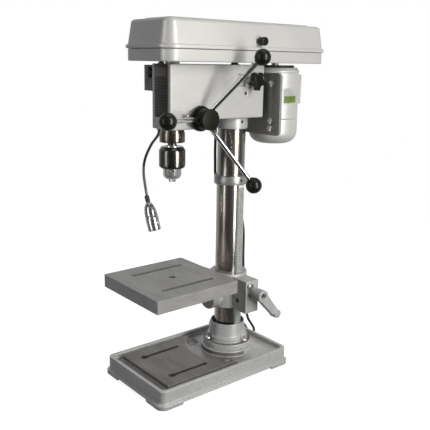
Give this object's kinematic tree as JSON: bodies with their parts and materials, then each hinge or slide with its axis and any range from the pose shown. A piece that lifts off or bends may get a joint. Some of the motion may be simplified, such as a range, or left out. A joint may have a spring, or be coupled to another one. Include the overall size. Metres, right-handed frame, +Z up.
{
  "type": "benchtop drill press",
  "caption": "Benchtop drill press with covered belt drive, rack-fed quill, key chuck, tilting rack-lifted table, flexible work lamp and cast base.",
  "frame": {"origin": "midway between the two bench bolt holes, at bench level", "axes": "+X towards the feed levers, +Y towards the motor, +Z up along the column"},
  "size_m": [0.3963, 0.4867, 0.749],
  "materials": {
    "silver_paint": "silver-grey hammered paint on castings and sheet",
    "ground_iron": "ground cast iron",
    "rack_iron": "pale grey-green cast rack",
    "bright_steel": "ground and turned steel",
    "chuck_steel": "dark polished steel",
    "chrome": "bright plated",
    "pulley_alloy": "turned alloy",
    "black_gloss": "glossy black moulding",
    "black_satin": "satin black",
    "dark_paint": "dark grey paint",
    "black_rubber": "soft black rubber",
    "warm_glass": "frosted bulb"
  },
  "bodies": {
    "frame": {"base": "silver_paint", "column_flange": "silver_paint", "flange_bolts": "bright_steel", "column": "bright_steel", "rack_ring": "silver_paint", "set_screws": "black_satin", "head_casting": "silver_paint", "front_plate": "black_satin", "spring_cap": "silver_paint", "return_spring": "bright_steel", "belt_tray": "silver_paint", "lid_hinges": "bright_steel", "v_belt": "black_rubber", "pulley_bearing": "bright_steel", "switch_box": "dark_paint", "lamp_neck_upper": "black_satin", "cord_gland": "black_rubber", "power_cord": "black_rubber", "cord_coil": "black_rubber", "plug": "black_rubber"},
    "belt_lid": {"belt_lid": "silver_paint", "lid_knob": "black_gloss"},
    "spindle_pulley": {"spindle_pulley": "pulley_alloy", "drive_sleeve": "bright_steel"},
    "quill": {"quill": "bright_steel", "quill_bearings": "bright_steel"},
    "spindle": {"spindle": "bright_steel", "chuck_body": "chuck_steel"},
    "chuck_sleeve": {"chuck_sleeve": "chuck_steel"},
    "jaw_1": {"chuck_jaw_1": "chuck_steel"},
    "jaw_2": {"chuck_jaw_2": "chuck_steel"},
    "jaw_3": {"chuck_jaw_3": "chuck_steel"},
    "feed": {"feed_shaft": "bright_steel", "feed_hub": "black_satin", "lever_rods": "chrome", "lever_balls": "black_gloss"},
    "depth_dial": {"depth_dial": "bright_steel", "dial_lock": "black_satin"},
    "switch_button": {"switch_button": "black_gloss"},
    "lamp_toggle": {"lamp_toggle": "chrome"},
    "lamp": {"lamp_neck_lower": "black_satin", "lamp_shade": "chrome", "lamp_bulb": "warm_glass"},
    "motor_carriage": {"motor_plate": "dark_paint", "slide_rods": "bright_steel", "motor_body": "silver_paint", "motor_bells": "silver_paint", "motor_bolts": "bright_steel", "capacitor_box": "silver_paint"},
    "motor_rotor": {"motor_shaft": "bright_steel", "motor_pulley": "pulley_alloy"},
    "slide_lock_knob": {"slide_lock_knob": "black_gloss"},
    "table_rack": {"table_rack": "rack_iron"},
    "table_bracket": {"table_bracket": "silver_paint"},
    "lift_gear": {"lift_gear": "bright_steel"},
    "table_crank": {"crank_shaft": "bright_steel", "table_crank": "silver_paint"},
    "bracket_lock": {"bracket_lock": "bright_steel"},
    "table": {"table": "ground_iron", "tilt_bolt": "bright_steel"}
  },
  "joints": [
    {"name": "feed_turn", "type": "hinge", "parent": "frame", "child": "feed", "pos_m": [0, -0.069, 0.56], "axis": [1, 0, 0], "range_deg": [0, 297.5], "stiffness_Nm_per_rad": 0.4, "springref_deg": -171.89},
    {"name": "quill_feed", "type": "slide", "parent": "frame", "child": "quill", "axis": [0, 0, -1], "range_m": [0, 0.078]},
    {"name": "dial_turn", "type": "hinge", "parent": "feed", "child": "depth_dial", "pos_m": [0, -0.069, 0.56], "axis": [1, 0, 0], "range_deg": [0, 300]},
    {"name": "motor_slide", "type": "slide", "parent": "frame", "child": "motor_carriage", "axis": [0, -1, 0], "range_m": [0, 0.012]},
    {"name": "slide_lock_turn", "type": "hinge", "parent": "frame", "child": "slide_lock_knob", "pos_m": [0, 0.062, 0.632], "axis": [1, 0, 0], "range_deg": [0, 180]},
    {"name": "motor_spin", "type": "hinge", "parent": "motor_carriage", "child": "motor_rotor", "pos_m": [0, 0.172, 0.6], "axis": [0, 0, 1], "continuous": true},
    {"name": "pulley_spin", "type": "hinge", "parent": "frame", "child": "spindle_pulley", "pos_m": [0, -0.106, 0.7], "axis": [0, 0, 1], "continuous": true},
    {"name": "spindle_spin", "type": "hinge", "parent": "quill", "child": "spindle", "pos_m": [0, -0.106, 0.56], "axis": [0, 0, 1], "continuous": true},
    {"name": "chuck_turn", "type": "hinge", "parent": "spindle", "child": "chuck_sleeve", "pos_m": [0, -0.106, 0.48], "axis": [0, 0, 1], "range_deg": [0, 1800]},
    {"name": "jaw_1_slide", "type": "slide", "parent": "spindle", "child": "jaw_1", "axis": [0.2095, 0.121, 0.9703], "range_m": [0, 0.022]},
    {"name": "jaw_2_slide", "type": "slide", "parent": "spindle", "child": "jaw_2", "axis": [-0.2095, 0.121, 0.9703], "range_m": [0, 0.022]},
    {"name": "jaw_3_slide", "type": "slide", "parent": "spindle", "child": "jaw_3", "axis": [0, -0.2419, 0.9703], "range_m": [0, 0.022]},
    {"name": "lid_open", "type": "hinge", "parent": "frame", "child": "belt_lid", "pos_m": [-0.0833, 0.02, 0.692], "axis": [0, -1, 0], "range_deg": [0, 100]},
    {"name": "switch_press", "type": "slide", "parent": "frame", "child": "switch_button", "axis": [0, 1, 0], "range_m": [0, 0.004], "stiffness_N_per_m": 400, "springref_m": -0.003},
    {"name": "lamp_toggle_flip", "type": "hinge", "parent": "frame", "child": "lamp_toggle", "pos_m": [-0.0685, -0.102, 0.622], "axis": [0, 1, 0], "range_deg": [-12, 12]},
    {"name": "lamp_bend", "type": "hinge", "parent": "frame", "child": "lamp", "pos_m": [-0.105, -0.106, 0.44], "axis": [0, 1, 0], "range_deg": [-25, 25]},
    {"name": "table_swing", "type": "hinge", "parent": "frame", "child": "table_rack", "pos_m": [0, 0.05, 0.2], "axis": [0, 0, 1], "range_deg": [-60, 60]},
    {"name": "table_lift", "type": "slide", "parent": "table_rack", "child": "table_bracket", "axis": [0, 0, 1], "range_m": [-0.035, 0.075]},
    {"name": "lift_gear_turn", "type": "hinge", "parent": "table_bracket", "child": "lift_gear", "pos_m": [0.0528, 0.05, 0.16], "axis": [0, -1, 0], "range_deg": [-122.5, 261.4]},
    {"name": "crank_turn", "type": "hinge", "parent": "table_bracket", "child": "table_crank", "pos_m": [0.1, 0.05, 0.184], "axis": [1, 0, 0], "range_deg": [-669.5, 1433.4]},
    {"name": "bracket_lock_turn", "type": "hinge", "parent": "table_bracket", "child": "bracket_lock", "pos_m": [0.08, 0.042, 0.199], "axis": [1, 0, 0], "range_deg": [0, 180]},
    {"name": "table_tilt", "type": "hinge", "parent": "table_bracket", "child": "table", "pos_m": [0, 0, 0.16], "axis": [0, 1, 0], "range_deg": [-45, 45]}
  ],
  "couplings": [
    {"joint": "quill_feed", "follows": "feed_turn", "m_per_rad": 0.015},
    {"joint": "pulley_spin", "follows": "motor_spin", "ratio": 0.82759},
    {"joint": "spindle_spin", "follows": "motor_spin", "ratio": 0.82759},
    {"joint": "lift_gear_turn", "follows": "table_lift", "rad_per_m": 60.606},
    {"joint": "crank_turn", "follows": "table_lift", "rad_per_m": 333.33},
    {"joint": "jaw_1_slide", "follows": "chuck_turn", "m_per_rad": 0.00070028},
    {"joint": "jaw_2_slide", "follows": "chuck_turn", "m_per_rad": 0.00070028},
    {"joint": "jaw_3_slide", "follows": "chuck_turn", "m_per_rad": 0.00070028}
  ]
}
